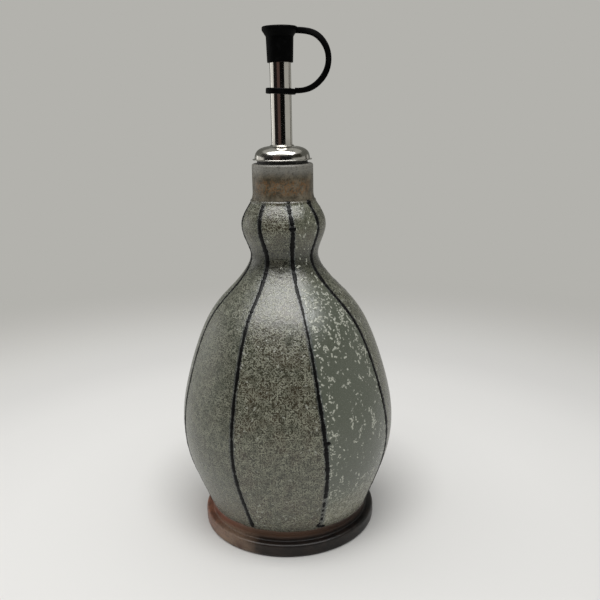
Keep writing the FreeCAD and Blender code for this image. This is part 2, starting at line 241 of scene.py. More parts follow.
def end_tree(graph, geometry, material):
    """Closes a tree with Set Shade Smooth, Realize Instances and Set Material."""
    smooth = graph.node("GeometryNodeSetShadeSmooth", inputs={"Geometry": geometry})
    real = graph.node("GeometryNodeRealizeInstances", inputs={"Geometry": smooth})
    done = graph.node("GeometryNodeSetMaterial", inputs={"Geometry": real, "Material": material})
    end = graph.tree.nodes.new("NodeGroupOutput")
    graph.tree.links.new(done.socket, end.inputs["Geometry"])


def place(name, data):
    made = bpy.data.objects.new(name, data)
    bpy.context.scene.collection.objects.link(made)
    return made


def grow(name, graph, start, **sizes):
    """Bakes what the tree makes of the starting data, and returns it as a new object."""
    host = place(name + "_start", start)
    modifier = host.modifiers.new("tree", "NODES")
    modifier.node_group = graph.tree
    for item in graph.tree.interface.items_tree:
        if item.in_out == "INPUT" and item.name.replace(" ", "_") in sizes:
            modifier[item.identifier] = sizes[item.name.replace(" ", "_")]
    depsgraph = bpy.context.evaluated_depsgraph_get()
    mesh = bpy.data.meshes.new_from_object(host.evaluated_get(depsgraph))
    bpy.data.objects.remove(host)
    mesh.name = name
    print(f"{name}: {len(mesh.vertices)} points, {len(mesh.polygons)} faces")
    return place(name, mesh)


def polyline(name, points, closed=False):
    """A mesh of points joined in a row."""
    mesh = bpy.data.meshes.new(name)
    joins = [(i, i + 1) for i in range(len(points) - 1)] + ([(len(points) - 1, 0)] if closed else [])
    mesh.from_pydata([tuple(p) for p in points], joins, [])
    return mesh


# %% [markdown]
# ## Reading an outline from a turned CAD part
# A turned part is one outline spun round its axis. A slice through the CAD mesh gives the order of the
# outline, and the mesh's own corners, which lie exactly on the true surface, give its exact places.
# The new, finer surface then has the CAD part's shape to a few hundredths of a millimetre.


# %% The outline reader
def sliced(node):
    """Every corner of the CAD mesh as (radius, height), and one slice through it as an ordered row."""
    bm = bmesh.new()
    bm.from_mesh(nodes[node].data)
    bmesh.ops.remove_doubles(bm, verts=bm.verts, dist=0.001 * MM)
    corners = np.array([(math.hypot(v.co.x, v.co.y), v.co.z) for v in bm.verts])
    bmesh.ops.bisect_plane(
        bm,
        geom=[*bm.verts, *bm.edges, *bm.faces],
        plane_co=(0, 0, 0),
        plane_no=(0, 1, 0),
        clear_inner=True,
        clear_outer=True,
    )
    bmesh.ops.remove_doubles(bm, verts=bm.verts, dist=0.002 * MM)
    bmesh.ops.delete(bm, geom=[v for v in bm.verts if v.co.x < -0.001 * MM], context="VERTS")
    bm.verts.ensure_lookup_table()
    ends = [v for v in bm.verts if len(v.link_edges) == 1]
    low = min(ends or bm.verts, key=lambda v: (v.co.z, v.co.x))
    row, came = [low], None
    while True:
        onward = [e for e in row[-1].link_edges if e is not came]
        if len(row) == 1 and len(onward) > 1:
            onward.sort(key=lambda e: -e.other_vert(row[-1]).co.x)
        step = next((e for e in onward if e.other_vert(row[-1]) not in row[-2:]), None)
        if step is None or (step.other_vert(row[-1]) is low):
            break
        row.append(step.other_vert(row[-1]))
        came = step
    if not ends:
        row.append(low)
    path = np.array([(v.co.x, v.co.z) for v in row])
    bm.free()
    return corners, path


def along(path):
    return np.concatenate([[0], np.cumsum(np.linalg.norm(np.diff(path, axis=0), axis=1))])


def outline_of(node, spacing):
    """The part's outline: evenly spaced (radius, height) points, from its axis or lowest point outwards."""
    corners, path = sliced(node)
    length = along(path)
    ends, starts = path[1:], path[:-1]
    spans = ends - starts
    size = np.maximum((spans**2).sum(1), 1e-18)
    where = []
    for corner in corners:
        share = np.clip(((corner - starts) * spans).sum(1) / size, 0, 1)
        gap = np.linalg.norm(starts + share[:, None] * spans - corner, axis=1)
        nearest = int(np.argmin(gap))
        where.append(length[nearest] + share[nearest] * math.sqrt(size[nearest]))
    where = np.array(where)
    bins = np.round(where / (0.12 * MM)).astype(int)
    exact = np.array([[where[bins == b].mean(), *corners[bins == b].mean(0)] for b in np.unique(bins)])
    exact = np.vstack([[0, *path[0]], exact, [length[-1], *path[-1]]])
    steps = np.linspace(0, length[-1], max(8, round(length[-1] / spacing)) + 1)
    return np.column_stack([np.interp(steps, exact[:, 0], exact[:, column]) for column in (1, 2)])


wall = outline_of("bottle", 0.3 * MM)
rim = int(np.argmax(wall[:, 1]))
while wall[rim, 0] < wall[rim - 1, 0] - 0.01 * MM:
    rim -= 1
print(f"bottle: {len(wall)} outline points, widest {wall[:, 0].max() / MM:.2f} mm")
print(f"its rim is at {wall[rim, 1] / MM:.2f} mm")

# %% [markdown]
# ## Turning an outline on the wheel
# A lathe is a rule, so it suits Geometry Nodes: a flat grid is rolled up so that one side runs round the
# axis and the other along the outline. The seam and the poles are then merged shut.
# Noise that is read in space, and not round the axis, has no seam. It is only ever taken away from the
# radius, so a thrown surface never grows past the CAD size.


# %% The wheel tree
wheel, w = new_tree(
    "turned_on_the_wheel",
    {
        "Steps Round": ("Int", 256),
        "Ring Depth": ("Float", 0.0),
        "Ring Pitch": ("Float", 1.0 * MM),
        "Uneven": ("Float", 0.0),
        "Uneven Size": ("Float", 18 * MM),
        "Edge Wander": ("Float", 0.0),
        "Edge Height": ("Float", 0.0),
        "Edge Slope": ("Float", 0.0),
        "Seed": ("Float", 1.0),
        "Material": ("Material", None),
    },
)
rows = wheel.node("GeometryNodeAttributeDomainSize", {"component": "MESH"}, {"Geometry": w["Geometry"]})
grid_sizes = {"Size X": 1.0, "Size Y": 1.0, "Vertices X": w["Steps Round"] + 1, "Vertices Y": rows}
grid = wheel.node("GeometryNodeMeshGrid", inputs=grid_sizes)
here = wheel.node("GeometryNodeInputPosition")
gx, gy, _ = wheel.split(here)
row = wheel.math("ROUND", (gy + 0.5) * (rows - 1))
sample = {"data_type": "FLOAT_VECTOR", "domain": "POINT"}
spot = wheel.node("GeometryNodeSampleIndex", sample, {"Geometry": w["Geometry"], "Value": here, "Index": row})
radius, _, height = wheel.split(spot)
turn = (gx + 0.5) * math.tau
cx, cy = wheel.math("COSINE", turn), wheel.math("SINE", turn)
at_edge = wheel.ease(height, w["Edge Height"] + 1 * MM, w["Edge Height"] + 4 * MM, 1, 0)
round_about = wheel.join(cx * 3 + w["Seed"], cy * 3, 0.0)
wander = (wheel.noise(round_about, 1.0, 3, 0.6) - 0.5) * w["Edge Wander"] * at_edge
lifted = height + wander
widened = radius + wander * w["Edge Slope"]
in_space = wheel.join(cx * radius, cy * radius, lifted)
seeded = wheel.vector("ADD", in_space, wheel.join(w["Seed"], 0.0, 0.0))
uneven = wheel.noise(wheel.scaled(seeded, 1 / w["Uneven Size"]), 1.0, 1) * w["Uneven"]
ring_place = wheel.join(cx * radius * 20, cy * radius * 20, lifted / w["Ring Pitch"])
rings = wheel.noise(ring_place, 1.0, 1, 0.4) * w["Ring Depth"]
away = wheel.math("MINIMUM", radius / (5 * MM), 1.0)
final_radius = widened - (uneven + rings) * away
rolled = wheel.join(cx * final_radius, cy * final_radius, lifted)
turned = wheel.node("GeometryNodeSetPosition", inputs={"Geometry": grid, "Position": rolled})
joined = wheel.node("GeometryNodeMergeByDistance", inputs={"Geometry": turned, "Distance": 0.002 * MM})
end_tree(wheel, joined, w["Material"])


def turn_on_wheel(name, outline, material, **sizes):
    """A finished turned piece from (radius, height) points that run outwards and up."""
    start = polyline(name, [(r, 0, z) for r, z in outline])
    return grow(name, wheel, start, Material=material, **sizes)


# %% [markdown]
# ## Finishes
# Every finish is worked out from the place of a point on the object, never from where the camera stands.
# Object coordinates are in metres, so a noise scale of 1000 has features about a millimetre across.


# %% A material with its shader
def new_finish(name, **constants):
    """A material: gives its Graph, its Principled shader node and the object coordinates."""
    material = bpy.data.materials.new(name)
    material.use_nodes = True
    material.node_tree.nodes.clear()
    graph = Graph(material.node_tree)
    graph.node("ShaderNodeBsdfPrincipled")
    shader = graph.last
    for label, value in constants.items():
        shader.inputs[label.replace("_", " ")].default_value = value
    end = graph.tree.nodes.new("ShaderNodeOutputMaterial")
    graph.tree.links.new(shader.outputs[0], end.inputs["Surface"])
    graph.node("ShaderNodeTexCoord")
    return material, graph, shader, graph.also("Object")


def feed(graph, shader, **values):
    """Links the varying values to the shader's sockets."""
    for label, value in values.items():
        graph.tree.links.new(value.socket, shader.inputs[label.replace("_", " ")])


def bump(graph, height, distance, strength=1.0, under=None):
    """Fine relief from a height of 0 to 1 that is worth distance, in metres."""
    parts = {"Height": height, "Distance": distance, "Strength": strength}
    return graph.node("ShaderNodeBump", inputs={**parts, **({"Normal": under} if under else {})})


# %% [markdown]
# ### The glaze
# The glaze is a satin grey-green in which fine crystals grew as it cooled. Some panels are crowded with
# short pale needles over brown, and some are nearly plain with a few larger flakes. The character of each
# panel is stored on the mesh as attributes, and the needles are cells of a Voronoi pattern: each cell
# gets its own direction, and a needle is what lies near the cell's centre along that direction.


# %% Needles
def needles(graph, place, size, length, width, share, upright=0.0):
    """A mask of short strokes, one in each Voronoi cell whose chance is under share."""
    cells = {"Vector": place, "Scale": 1 / size, "Randomness": 1.0}
    graph.node("ShaderNodeTexVoronoi", {"feature": "F1"}, cells)
    tint, centre = graph.also("Color"), graph.also("Position")
    normal = graph.node("ShaderNodeNewGeometry", output="Normal")

    def flat(vector):
        """What is left of a vector when it is laid on the surface."""
        outwards = graph.vector("DOT_PRODUCT", vector, normal, output="Value")
        return graph.vector("SUBTRACT", vector, graph.scaled(normal, outwards))

    off = flat(graph.vector("SUBTRACT", place, centre))
    first, second, third = graph.split(tint)
    aim = graph.join(first - 0.5, second - 0.5, third - 0.5 + upright)
    aim = graph.vector("NORMALIZE", flat(aim))
    run = graph.vector("DOT_PRODUCT", off, aim, output="Value")
    side = graph.vector("LENGTH", graph.vector("SUBTRACT", off, graph.scaled(aim, run)), output="Value")
    reach = graph.ease(graph.math("ABSOLUTE", run), length * 0.25, length * 0.5, 1, 0)
    body = graph.ease(side, width * 0.25, width * 0.6, 1, 0)
    odds = graph.math("FRACT", first * 7.31 + second * 3.17)
    return body * reach * graph.math("LESS_THAN", odds, share)


# %% The glaze
glaze, g, glaze_shader, at = new_finish("glaze", IOR=1.62)
mottle = g.node("ShaderNodeAttribute", {"attribute_name": "mottle"}, output="Fac")
flakes = g.node("ShaderNodeAttribute", {"attribute_name": "flakes"}, output="Fac")
line_gap = g.node("ShaderNodeAttribute", {"attribute_name": "line_gap"}, output="Fac")
_, _, up = g.split(at)
clouds = g.noise(at, 45, 3, 0.55)
patch = g.ease(g.noise(at, 120, 4, 0.65), 0.40, 0.62)
uneven = g.ease(g.noise(at, 330, 3, 0.65), 0.36, 0.62)
grain = g.noise(at, 2300, 3, 0.7)
speck = g.ease(g.noise(at, 1250, 3, 0.65), 0.52, 0.64)
plain = g.ease(mottle, 0.08, 0.16, 1, 0)
low_down = g.ease(up, 16 * MM, 38 * MM, 1, 0)
on_bulb = g.ease(up, 112 * MM, 124 * MM)
on_shoulder = g.ease(up, 84 * MM, 98 * MM)
at_waist = g.ease(up, 117 * MM, 126 * MM) * g.ease(up, 128 * MM, 138 * MM, 1, 0)
sage = g.mix(clouds, shade(90, 96, 82), shade(102, 107, 94))
brown = g.mix(patch, shade(80, 81, 63), shade(84, 75, 56))
ground = g.mix(g.math("MAXIMUM", mottle, on_bulb * 0.7), sage, brown)
dark = speck * (1 - plain * (1 - on_bulb) * 0.8) * (0.5 + 0.4 * mottle)
ground = g.mix(dark * 0.65, ground, shade(50, 51, 38))
ground = g.mix(at_waist * 0.85, ground, shade(40, 42, 33))
there = g.vector("ADD", at, g.join(0.5, 0.3, 0.7))
fine = needles(g, at, 0.9 * MM, 1.4 * MM, 0.42 * MM, 0.85)
short = needles(g, there, 1.25 * MM, 2.0 * MM, 0.46 * MM, 0.7)
crowd = g.math("MAXIMUM", fine, short) * (0.35 + 0.65 * uneven)
many = g.math("MAXIMUM", g.math("MAXIMUM", mottle, low_down * 0.9), on_bulb * 0.4)
left_bare = plain * (1 - g.math("MAXIMUM", low_down, on_bulb * 0.6))
pale = crowd * (1 - left_bare) * (0.50 + 0.36 * many) * (1 - at_waist * 0.6)
groups = g.ease(g.noise(g.vector("MULTIPLY", at, g.join(1.0, 1.0, 0.75)), 280, 2, 0.5), 0.585, 0.66)
beside = g.ease(line_gap, 2.0 * MM, 9.0 * MM, 0.25, 0)
gathered = groups * 0.85 + on_shoulder * 0.16 + low_down * 0.3 + beside * 0.5 + 0.03
odds = flakes * gathered * (1 - on_bulb * 0.75)
flake = needles(g, there, 1.7 * MM, 2.6 * MM, 0.85 * MM, odds, 0.25)
chip = needles(g, at, 1.1 * MM, 1.4 * MM, 0.6 * MM, odds * 0.8, 0.2)
flake = g.math("MAXIMUM", flake, chip) * g.ease(grain, 0.36, 0.46)
colour = g.mix(pale, ground, shade(186, 187, 162))
colour = g.mix(flake * 0.9, colour, shade(204, 206, 190))
colour = g.mix(low_down * g.ease(clouds, 0.4, 0.6) * 0.35, colour, shade(128, 118, 100))
halo = g.ease(line_gap, 0.8 * MM, 1.7 * MM, 1, 0)
colour = g.mix(halo * 0.6, colour, shade(82, 88, 90))
pooled = g.ease(up, 12 * MM, 15.5 * MM, 1, 0)
colour = g.mix(pooled * 0.55, colour, shade(66, 64, 48))
near_ridge = g.ease(up, 151.5 * MM, 152.8 * MM)
colour = g.mix(near_ridge * 0.6, colour, shade(84, 74, 58))
strength = 1.0 - plain * 0.5
dusting = g.mix(grain, shade(20, 20, 18), shade(255, 255, 255))
colour = g.mix(strength, colour, g.mix(1.0, colour, dusting, "MULTIPLY"))
relief = bump(g, g.noise(at, 240, 2, 0.5), 0.12 * MM)
relief = bump(g, g.noise(at, 700, 2, 0.6), 0.16 * MM, under=relief)
relief = bump(g, grain * 0.7 + pale * 0.7 + flake * 0.8, 0.07 * MM, under=relief)
feed(g, glaze_shader, Base_Color=colour, Normal=relief, Roughness=0.19 + grain * 0.14 + pale * 0.16)

# %% [markdown]
# ### Bare clay, slip and metal
# The foot and the collar of the neck are left without glaze. The clay there burned brown to rust-red on
# one side and charcoal on the other, with rusty runs below the lip.

# %% Bare clay
clay, c, clay_shader, at = new_finish("bare_stoneware", Specular_IOR_Level=0.32)
cx, cy, up = c.split(at)
turn = c.math("ARCTAN2", cx, cy * -1) / math.tau
burn = c.node("ShaderNodeValToRGB", {"stops": [
    (0.0, shade(60, 50, 42)), (0.27, shade(136, 88, 66)), (0.37, shade(108, 76, 60)),
    (0.44, shade(30, 21, 16)), (0.60, shade(12, 10, 9)), (0.72, shade(15, 15, 14)),
    (0.85, shade(34, 31, 28)), (1.0, shade(60, 50, 42)),
]}, {"Fac": turn + 0.5})
cloud = c.noise(at, 90, 4, 0.6)
grain = c.noise(at, 1400, 3, 0.65)
turned = c.noise(c.join(cx * 12, cy * 12, up * 1100), 1.0, 2, 0.5)
singed = c.ease(c.noise(at, 210, 4, 0.7), 0.44, 0.56)
foot = c.mix(singed * 0.4, burn, shade(44, 34, 28))
warm_side = c.ease(turn, -0.20, -0.13) * c.ease(turn, -0.10, -0.04, 1, 0)
warm = warm_side * c.ease(c.noise(at, 70, 3, 0.6), 0.3, 0.5)
foot = c.mix(warm * 0.65, foot, shade(132, 112, 94))
above_foot = c.ease(up, 6.5 * MM, 9 * MM) * c.ease(turn, 0.0, 0.12, 0.75, 0.3)
red_to_brown = c.mix(c.ease(turn, -0.16, -0.06), shade(112, 58, 42), shade(82, 58, 42))
foot = c.mix(above_foot, foot, red_to_brown)
blotch = c.ease(c.noise(at, 380, 4, 0.65), 0.38, 0.62)
neck = c.mix(c.ease(cloud, 0.3, 0.7), shade(84, 75, 58), shade(110, 102, 86))
neck = c.mix((1 - blotch) * 0.7, neck, shade(44, 41, 29))
streaks = c.noise(c.join(cx * 520, cy * 520, up * 330), 1.0, 3, 0.6)
rust_band = c.ease(up, 154.5 * MM, 157 * MM) * c.ease(up, 160 * MM, 163 * MM, 1, 0)
at_the_front = c.ease(c.math("ABSOLUTE", turn), 0.12, 0.2, 1, 0)
rusty = c.ease(c.math("ABSOLUTE", streaks - 0.5), 0.015, 0.05, 1, 0.1) * rust_band * at_the_front
neck = c.mix(rusty * 0.7, neck, shade(116, 82, 46))
neck = c.mix(c.ease(up, 162.0 * MM, 166.5 * MM) * 0.75, neck, shade(126, 125, 119))
neck = c.mix(c.ease(up, 150 * MM, 154.5 * MM, 1, 0) * 0.6, neck, shade(78, 64, 48))
body = c.mix(c.ease(up, 80 * MM, 90 * MM), foot, neck)
body = c.mix(c.ease(grain, 0.52, 0.7) * 0.6, body, shade(36, 30, 24))
relief = bump(c, turned, 0.10 * MM)
relief = bump(c, grain, 0.05 * MM, under=relief)
feed(c, clay_shader, Base_Color=body, Normal=relief, Roughness=0.24 + cloud * 0.26)

# %% Trailed slip
slip, s, slip_shader, at = new_finish("black_slip", Specular_IOR_Level=0.16)
grain = s.noise(at, 1300, 3, 0.6)
colour = s.mix(s.ease(grain, 0.5, 0.8), shade(2, 2, 2), shade(18, 19, 18))
relief = bump(s, s.noise(at, 320, 2), 0.08 * MM)
fine_relief = bump(s, grain, 0.02 * MM, under=relief)
feed(s, slip_shader, Base_Color=colour, Normal=fine_relief, Roughness=0.3 + grain * 0.25)

# %% Polished steel
steel, m, steel_shader, at = new_finish("polished_steel", Metallic=1.0)
mx, my, up = m.split(at)
brushed = m.noise(m.join(mx * 40, my * 40, up * 5200), 1.0, 2, 0.5)
smear = m.noise(at, 160, 3, 0.6)
tone = m.mix(smear, shade(206, 203, 196), shade(222, 220, 214))
# painted shade: below 176 mm the collar is the same steel as the spout, painted darker so its reflections
# look dimmer
tone = m.mix(m.ease(up, 176 * MM, 180 * MM, 0.4, 0), tone, shade(150, 148, 141))
duller_collar = m.ease(up, 176 * MM, 180 * MM, 0.07, 0)
steel_roughness = 0.07 + brushed * 0.06 + m.ease(smear, 0.5, 0.8) * 0.08 + duller_collar
feed(m, steel_shader, Base_Color=tone, Roughness=steel_roughness)
feed(m, steel_shader, Normal=bump(m, brushed, 0.002 * MM))

# %% Rubbers
cap_rubber, k, cap_shader, at = new_finish("black_rubber", Specular_IOR_Level=0.04)
dust = k.ease(k.noise(at, 420, 4, 0.65), 0.5, 0.75)
tone = k.mix(dust * 0.5, shade(1, 1, 1), shade(9, 9, 8))
feed(k, cap_shader, Base_Color=tone, Roughness=0.5 + dust * 0.3)
feed(k, cap_shader, Normal=bump(k, k.noise(at, 2600, 2), 0.012 * MM))

stopper_rubber, k, stopper_shader, at = new_finish("grey_rubber", Specular_IOR_Level=0.4)
bloom = k.ease(k.noise(at, 300, 3, 0.6), 0.4, 0.7)
bloomed = k.mix(bloom, shade(38, 37, 35), shade(62, 60, 56))
feed(k, stopper_shader, Base_Color=bloomed, Roughness=0.6 + bloom * 0.2)
feed(k, stopper_shader, Normal=bump(k, k.noise(at, 2200, 2), 0.015 * MM))

# %% [markdown]
# ## The pot
# The clay wall is one turned piece, inside and outside. Under the glaze it lies a little inside the CAD
# radius, and the glaze coat is a second closed shell whose outside is the CAD radius. That gives the real
# pot's edges: the glaze ends in a rolled lip above the foot, and in a small ridge on the neck.

# %% Clay and glaze outlines
GLAZE_LOW, GLAZE_TOP = 10.8 * MM, 153.4 * MM
GLAZE_DEPTH = 0.32 * MM
GLAZE_EDGE = 0.8 * MM
outer = wall[: rim + 1]
outer = outer[int(np.argmax(outer[:, 0] > 35 * MM)):]
heights = outer[:, 1]
wall_tangent = np.gradient(outer, axis=0)
wall_tangent /= np.linalg.norm(wall_tangent, axis=1)[:, None]
wall_normal = np.column_stack([wall_tangent[:, 1], -wall_tangent[:, 0]])


def smooth_step(x, low, high):
    t = np.clip((x - low) / (high - low), 0, 1)
    return t * t * (3 - 2 * t)


def thin_out(points, keep_fine, fine, coarse):
    """Drops outline points, to fine spacing where keep_fine is true for a point and coarse elsewhere."""
    kept = [points[0]]
    for point in points[1:-1]:
        if np.linalg.norm(point - kept[-1]) >= (fine if keep_fine(point) else coarse) * 0.999:
            kept.append(point)
    return np.array([*kept, points[-1]])


past_low_edge = smooth_step(heights, GLAZE_LOW, GLAZE_LOW + GLAZE_EDGE)
past_top_edge = smooth_step(heights, GLAZE_TOP - GLAZE_EDGE, GLAZE_TOP)
under_glaze = past_low_edge * (1 - past_top_edge)
sunk = outer - wall_normal * (under_glaze * GLAZE_DEPTH)[:, None]
first_outer = rim + 1 - len(outer)
clay_outline = np.vstack([wall[:first_outer], sunk, wall[rim + 1:]])
bare = lambda p: p[1] < 14 * MM or p[1] > 149 * MM
clay_outline = thin_out(clay_outline, bare, 0.3 * MM, 2.4 * MM)

coated = (heights > GLAZE_LOW) & (heights < GLAZE_TOP)
skin, skin_normal = outer[coated], wall_normal[coated]
from_low, from_top = along(skin), along(skin)[-1] - along(skin)
roll = lambda gap: np.sqrt(np.clip(1 - (1 - np.clip(gap / (0.7 * MM), 0, 1)) ** 2, 0, 1))
ridge = 0.30 * MM * np.exp(-(((from_top - 0.9 * MM) / (0.7 * MM)) ** 2))
lift = GLAZE_DEPTH * (roll(from_low) * roll(from_top) - 1) + ridge * roll(from_top)
front = skin + skin_normal * lift[:, None]
back = (skin - skin_normal * 2.2 * GLAZE_DEPTH)[::-1]
edge = lambda p: p[1] < GLAZE_LOW + 1.5 * MM or p[1] > GLAZE_TOP - 2.5 * MM
front = thin_out(front, edge, 0.3 * MM, 0.86 * MM)
back = thin_out(back, lambda p: False, 1, 6 * MM)
glaze_outline = np.vstack([front, back, front[:1]])
slope_low = float((skin[6, 0] - skin[0, 0]) / (skin[6, 1] - skin[0, 1]))
print(f"glaze coat: {len(front)} rows in front, {len(back)} behind, slope at its lower edge {slope_low:.2f}")

# %% Throw the clay and coat it
clay_sizes = {"Steps_Round": 256, "Ring_Depth": 0.05 * MM, "Ring_Pitch": 1.3 * MM}
clay_wall = turn_on_wheel("clay_wall", clay_outline, clay, **clay_sizes)
glaze_sizes = {
    "Steps_Round": 320, "Uneven": 0.16 * MM, "Uneven_Size": 22 * MM, "Edge_Wander": 2.6 * MM,
    "Edge_Height": GLAZE_LOW, "Edge_Slope": slope_low, "Seed": 4.0,
}
glaze_coat = turn_on_wheel("glaze_coat", glaze_outline, glaze, **glaze_sizes)

# %% [markdown]
# ## The eight black lines
# Each line was trailed by hand from the neck to the foot: thick where the hand slowed, thin on the
# shoulder, with beads and gaps near its end. A table gives its way round the pot. Geometry Nodes draw a
# round thread along it and press the thread flat on to the wall, so it hugs the pot wherever it goes.

# %% Where the lines run
LINES = {  # height in mm: degrees round from the front, for each line
    "far_left": [(12, -73), (50, -72), (100, -74), (128, -73), (141, -78), (153, -79)],
    "left": [(12, -25), (50, -28), (100, -28.5), (128, -27.6), (141, -32.5), (153, -35)],
    "right": [(12.3, 22), (50, 20), (100, 16), (128, 14), (141, 13), (153, 9)],
    "far_right": [(12, 67), (50, 66), (100, 61), (128, 52), (141, 54.5), (153, 51)],
    "back_right": [(12, 113), (50, 112), (100, 109), (128, 102), (141, 104), (153, 101)],
    "back": [(12, 157), (50, 158), (100, 156), (128, 150), (141, 151), (153, 148)],
    "back_left": [(12, 201), (50, 200), (100, 198), (128, 193), (141, 195), (153, 192)],
    "left_back": [(12, 246), (50, 245), (100, 242), (128, 237), (141, 238), (153, 236)],
}
WIDTHS = {  # height in mm: width in mm
    "left": [(12, 1.5), (60, 1.4), (110, 1.35), (125, 1.9), (132, 1.9), (141, 1.5), (153, 1.6)],
    "right": [(12, 1.5), (50, 1.65), (80, 1.3), (98, 0.75), (112, 1.0), (128, 1.6), (153, 1.5)],
    "far_right": [(12, 1.6), (60, 1.9), (100, 1.8), (128, 1.7), (153, 1.6)],
}
LINE_LOW, LINE_HIGH = 11.9, 152.6  # mm
RIGHT_LINE_LOW = 29.5  # mm; dabs carry that line on below it
TRAIL_STEP = 0.8  # mm
THREAD_SHARE = 0.56  # a thread's radius over its line's width
USUAL_WIDTH = [(12, 1.5), (60, 1.7), (100, 1.4), (128, 1.7), (153, 1.5)]


def smooth_table(table, wanted):
    """A smooth curve through (place, value) pairs, as values at the wanted places."""
    places, values = np.array(table, float).T
    fine = np.linspace(places[0], places[-1], 400)
    straight = np.interp(fine, places, values)
    kernel = np.hanning(61)
    padded = np.pad(straight, 30, mode="reflect", reflect_type="odd")
    return np.interp(wanted, fine, np.convolve(padded, kernel / kernel.sum(), "valid"))


def wall_radius(height):
    return np.interp(height, heights[coated], outer[coated, 0])


def on_wall(degrees, height):
    """The point of the pot's wall that many degrees round from the front, at that height."""
    angle, radius = math.radians(degrees), wall_radius(height)
    return radius * math.sin(angle), -radius * math.cos(angle), height


def strokes(name, rows):
    """A curve object's data: one row of (x, y, z, radius) points for each stroke."""
    data = bpy.data.curves.new(name, "CURVE")
    data.dimensions = "3D"
    for points in rows:
        spline = data.splines.new("POLY")
        spline.points.add(len(points) - 1)
        for point, (x, y, z, radius) in zip(spline.points, points):
            point.co, point.radius = (x, y, z, 1), radius
    return data


def trail(line, low, high):
    """One stroke along a line between two heights in mm."""
    at_heights = np.arange(low, high, TRAIL_STEP)
    degrees = smooth_table(LINES[line], at_heights)
    widths = smooth_table(WIDTHS.get(line, USUAL_WIDTH), at_heights)
    return [(*on_wall(d, z * MM), w * THREAD_SHARE * MM) for d, z, w in zip(degrees, at_heights, widths)]


def dab(degrees, height, width, drop=0.6, aside=0.0):
    """A short stroke or bead: its place, its width, and how far it runs down and aside, in mm and degrees."""
    steps = np.linspace(0, 1, 6)
    return [(*on_wall(degrees + aside * t, (height - drop * t) * MM), width / 2 * MM) for t in steps]


DABS = [  # degrees, height and width, how far down it runs, and how far aside
    (21, 27.5, 1.5, 3.4), (21, 23, 1.25, 1.5), (21, 20, 1.4, 1.0), (21.5, 18, 1.2, 2.0),
    (21, 15, 1.35, 2.4, -2.5), (19.5, 12.5, 1.25, 0.4, 5.5), (21, 58, 2.3, 1.7),
    (-25, 15, 2.5, 2.2), (-72, 30, 1.9, 1.4), (67, 24, 2.0, 1.4),
    (51, 153.5, 3.0, 2.4), (9.5, 153.5, 1.9, 1.4), (12.5, 143.5, 2.9, 3.0),
]
draws = [trail(name, RIGHT_LINE_LOW if name == "right" else LINE_LOW, LINE_HIGH) for name in LINES]
draws += [dab(*values) for values in DABS]
print(len(draws), "strokes of slip")

# %% The slip tree
slip_tree, t = new_tree(
    "trailed_slip",
    {
        "Pot": ("Object", None),
        "Step": ("Float", 0.34 * MM),
        "Flatness": ("Float", 0.24),
        "Sunk": ("Float", 0.0),
        "Wobble": ("Float", 0.8 * MM),
        "Thick And Thin": ("Float", 0.55),
        "Material": ("Material", None),
    },
)
even_steps = {"Curve": t["Geometry"], "Length": t["Step"]}
even = slip_tree.node("GeometryNodeResampleCurve", {"mode": "LENGTH"}, even_steps)
here = slip_tree.node("GeometryNodeInputPosition")
sway = slip_tree.noise(here, 140, 2, output="Color")
sway = slip_tree.scaled(slip_tree.vector("SUBTRACT", sway, slip_tree.join(0.5, 0.5, 0.5)), t["Wobble"])
swayed = slip_tree.node("GeometryNodeSetPosition", inputs={"Geometry": even, "Offset": sway})
thread = slip_tree.node("GeometryNodeInputRadius")
slow, quick = slip_tree.noise(here, 300, 1), slip_tree.noise(here, 1500, 1)
pulse = 1 + ((slow - 0.5) * 1.8 + (quick - 0.5) * 2.6) * t["Thick And Thin"]
wide = thread * pulse
gone = slip_tree.node("GeometryNodeSplineParameter", output="Length")
whole = slip_tree.node("GeometryNodeSplineLength")
to_end = slip_tree.math("MINIMUM", gone, whole - gone) / wide
near_end = slip_tree.math("MAXIMUM", 1 - to_end, 0.0)
blunt = slip_tree.math("SQRT", slip_tree.math("MAXIMUM", 1 - near_end ** 2, 0.04))
thick = slip_tree.node("GeometryNodeSetCurveRadius", inputs={"Curve": swayed, "Radius": wide * blunt})
circle = slip_tree.node("GeometryNodeCurvePrimitiveCircle", inputs={"Resolution": 12, "Radius": 1.0})
as_wide = slip_tree.node("GeometryNodeInputRadius")
sweep = {"Curve": thick, "Profile Curve": circle, "Scale": as_wide, "Fill Caps": True}
tube = slip_tree.node("GeometryNodeCurveToMesh", inputs=sweep)
as_it_is = {"transform_space": "ORIGINAL"}
pot = slip_tree.node("GeometryNodeObjectInfo", as_it_is, {"Object": t["Pot"]}, "Geometry")
search = {0: pot, "Sample Position": here}
nearest = slip_tree.node("GeometryNodeProximity", {"target_element": "FACES"}, search)
facing = slip_tree.node("GeometryNodeInputNormal")
sampled = {"Mesh": pot, "Value": facing, "Sample Position": here}
normal = slip_tree.node("GeometryNodeSampleNearestSurface", {"data_type": "FLOAT_VECTOR"}, sampled)
normal = slip_tree.vector("NORMALIZE", normal)
above = slip_tree.vector("DOT_PRODUCT", slip_tree.vector("SUBTRACT", here, nearest), normal, output="Value")
pressed = slip_tree.vector("ADD", nearest, slip_tree.scaled(normal, above * t["Flatness"] - t["Sunk"]))
flat = slip_tree.node("GeometryNodeSetPosition", inputs={"Geometry": tube, "Position": pressed})
end_tree(slip_tree, flat, t["Material"])
slip_lines = grow("slip_lines", slip_tree, strokes("slip_strokes", draws), Pot=glaze_coat, Material=slip)

# %% [markdown]
# The glaze changes from panel to panel, so its mesh carries that: how brown and mottled each panel is, how
# many flakes it has, and how far each point is from the nearest line, for the bluish edge along the slip.

# %% Panels on the glaze
PANELS = [  # from the far left line round to the left: how mottled, how many flakes
    (0.42, 0.01), (0.95, 0.12), (0.05, 0.90), (0.55, 0.20),
    (0.90, 0.25), (0.05, 0.60), (0.75, 0.10), (0.20, 0.40),
]


